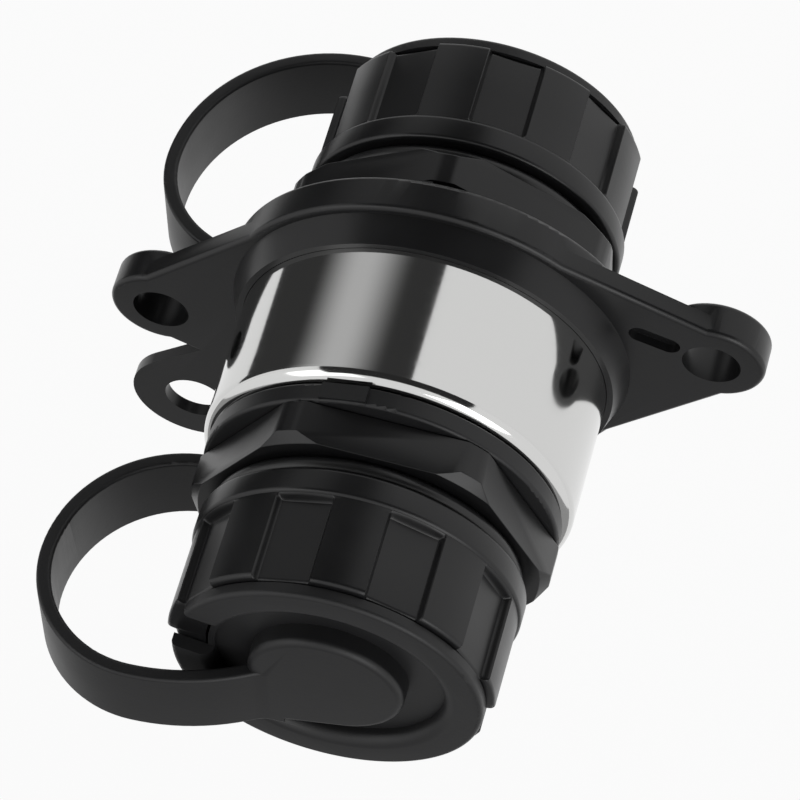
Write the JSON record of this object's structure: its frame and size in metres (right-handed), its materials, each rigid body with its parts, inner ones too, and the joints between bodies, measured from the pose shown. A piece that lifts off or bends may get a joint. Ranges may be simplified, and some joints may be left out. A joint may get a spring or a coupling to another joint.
{
  "type": "ethernet coupler",
  "caption": "Sealed panel-mount ethernet coupler with a plated barrel, an eared flange and a tethered screw cap over the RJ45 port at each end.",
  "frame": {"origin": "middle of the two ear holes, on the flange's mounting face", "axes": "+Z along the coupler's axis out of the mounting face towards the near port, +X through the ear with the pocket, +Y towards the key on the strap's neck ring"},
  "size_m": [0.0526, 0.033, 0.0575],
  "materials": {
    "plated_barrel": "bright nickel plate",
    "black_moulding": "satin moulding",
    "insert_moulding": "satin moulding",
    "strap_rubber": "matte moulding",
    "seal_rubber": "matte",
    "board": "solder mask over glass laminate",
    "contact_metal": "gold flash",
    "spring_steel": "spring steel"
  },
  "bodies": {
    "coupler": {"barrel": "plated_barrel", "flange": "black_moulding", "circuit_board": "board", "near_fitting": "black_moulding", "far_fitting": "black_moulding", "near_spigot_seal": "seal_rubber", "far_spigot_seal": "seal_rubber", "near_nose_seal": "seal_rubber", "far_nose_seal": "seal_rubber", "near_port_insert": "insert_moulding", "far_port_insert": "insert_moulding", "near_contacts": "contact_metal", "far_contacts": "contact_metal", "near_retainer": "spring_steel", "far_retainer": "spring_steel"},
    "near_head": {"near_strap": "strap_rubber", "near_cap_washer": "spring_steel"},
    "near_screw_cap": {"near_cap": "black_moulding", "near_cap_gasket": "seal_rubber"},
    "far_head": {"far_strap": "strap_rubber", "far_cap_washer": "spring_steel"},
    "far_screw_cap": {"far_cap": "black_moulding", "far_cap_gasket": "seal_rubber"}
  },
  "joints": [
    {"name": "near_cap_lift", "type": "slide", "parent": "coupler", "child": "near_head", "axis": [0, 0, 1], "range_m": [0, 0.006], "deforming": ["near_strap"]},
    {"name": "near_cap_turn", "type": "hinge", "parent": "near_head", "child": "near_screw_cap", "pos_m": [0, 0, 0.024], "axis": [0, 0, 1], "range_deg": [0, 1440]},
    {"name": "far_cap_lift", "type": "slide", "parent": "coupler", "child": "far_head", "axis": [0, 0, -1], "range_m": [0, 0.006], "deforming": ["far_strap"]},
    {"name": "far_cap_turn", "type": "hinge", "parent": "far_head", "child": "far_screw_cap", "pos_m": [0, 0, -0.014], "axis": [0, 0, -1], "range_deg": [0, 1440]}
  ],
  "couplings": [
    {"joint": "near_cap_turn", "follows": "near_cap_lift", "rad_per_m": 4188.8},
    {"joint": "far_cap_turn", "follows": "far_cap_lift", "rad_per_m": 4188.8}
  ]
}
